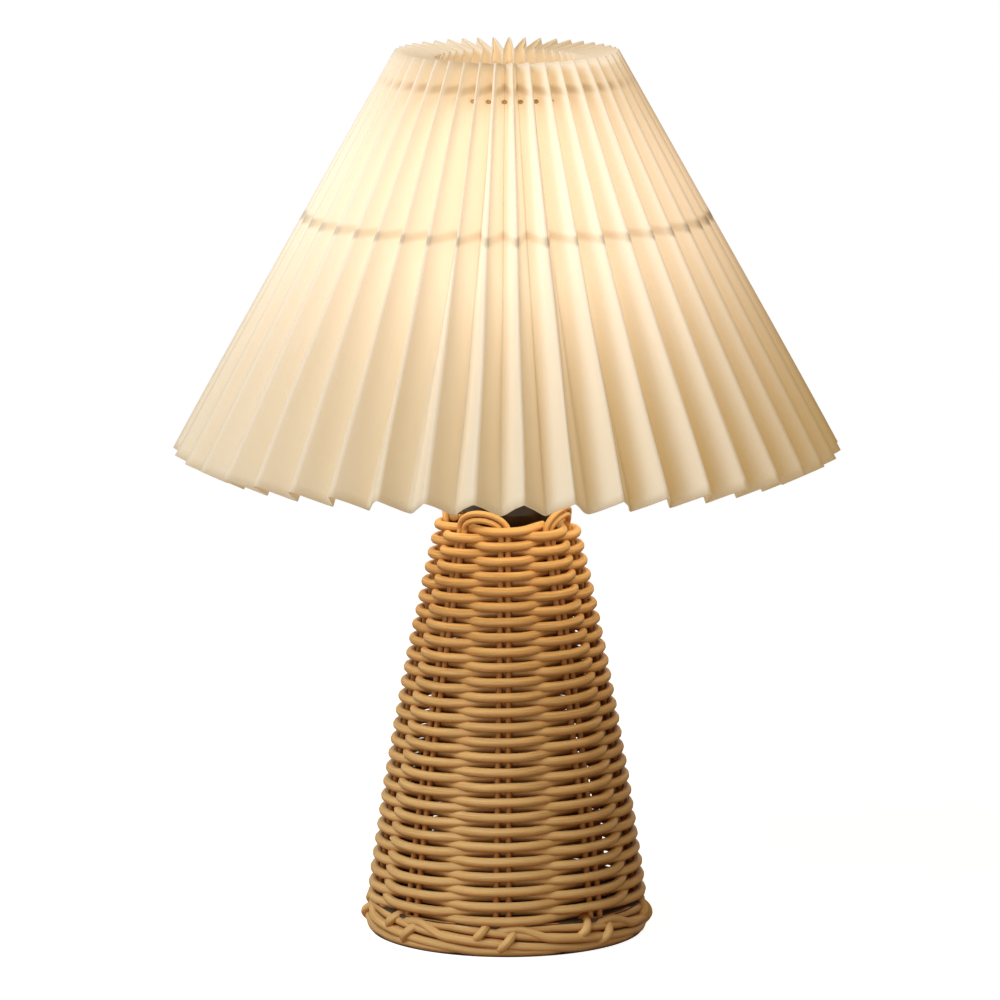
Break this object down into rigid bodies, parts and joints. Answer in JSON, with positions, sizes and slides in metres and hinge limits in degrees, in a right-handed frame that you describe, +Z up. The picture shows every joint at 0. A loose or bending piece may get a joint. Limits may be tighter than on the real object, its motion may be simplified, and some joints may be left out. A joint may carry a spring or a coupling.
{
  "type": "table lamp with shade",
  "caption": "Table lamp with a tapered woven cane foot, a conical pleated cloth shade that lifts off its wire bracket, and a bulb that screws out of its holder.",
  "frame": {"origin": "on the table, under the lamp's axis", "axes": "+Z up along the lamp's axis, the lamp's front towards -Y"},
  "size_m": [0.2997, 0.2998, 0.4],
  "materials": {
    "cane": "natural peeled cane",
    "cloth": "stiffened cream cloth",
    "hoop": "lacquered wire",
    "pad": "matt",
    "board": "raw",
    "ballast": "rough",
    "steel": "zinc",
    "holder": "moulded",
    "core": "unglazed",
    "brass": "plain",
    "cap": "plain",
    "insulator": "moulded",
    "bulb_body": "moulded",
    "opal": "opal diffuser"
  },
  "bodies": {
    "lamp": {"foot_pad": "pad", "base_board": "board", "ballast_plate": "ballast", "centre_tube": "steel", "base_washer": "steel", "base_nut": "steel", "ballast_washer": "steel", "ballast_nut": "steel", "neck_disc": "board", "neck_washer": "steel", "neck_nut": "steel", "weaver_a": "cane", "weaver_b": "cane", "lampholder_cup": "holder", "lampholder_core": "core", "lampholder_skirt": "holder", "screw_shell": "brass", "centre_contact": "brass", "lower_shade_ring": "holder", "upper_shade_ring": "holder", "bracket_plate": "steel", "bracket_ring": "steel", "stake_hairpin_1": "cane", "stake_hairpin_2": "cane", "stake_hairpin_3": "cane", "stake_hairpin_4": "cane", "border_pair_1": "cane", "border_pair_2": "cane", "border_pair_3": "cane", "border_pair_4": "cane", "border_pair_5": "cane", "border_pair_6": "cane", "border_pair_7": "cane", "border_pair_8": "cane", "bracket_arm_1": "steel", "bracket_arm_2": "steel", "bracket_arm_3": "steel"},
    "shade": {"pleated_shade": "cloth", "neck_hoop": "hoop", "waist_hoop": "hoop"},
    "bulb_tip": {"bulb_contact": "brass", "bulb_insulator": "insulator"},
    "bulb": {"bulb_cap": "cap", "bulb_body": "bulb_body", "bulb_dome": "opal"}
  },
  "joints": [
    {"name": "shade_lift", "type": "slide", "parent": "lamp", "child": "shade", "axis": [0, 0, 1], "range_m": [0, 0.2]},
    {"name": "bulb_rise", "type": "slide", "parent": "lamp", "child": "bulb_tip", "axis": [0, 0, 1], "range_m": [0, 0.0165]},
    {"name": "bulb_turn", "type": "hinge", "parent": "bulb_tip", "child": "bulb", "pos_m": [0, 0, 0.23], "axis": [0, 0, 1], "range_deg": [0, 1620]}
  ],
  "couplings": [
    {"joint": "bulb_rise", "follows": "bulb_turn", "m_per_rad": 0.00057614}
  ]
}
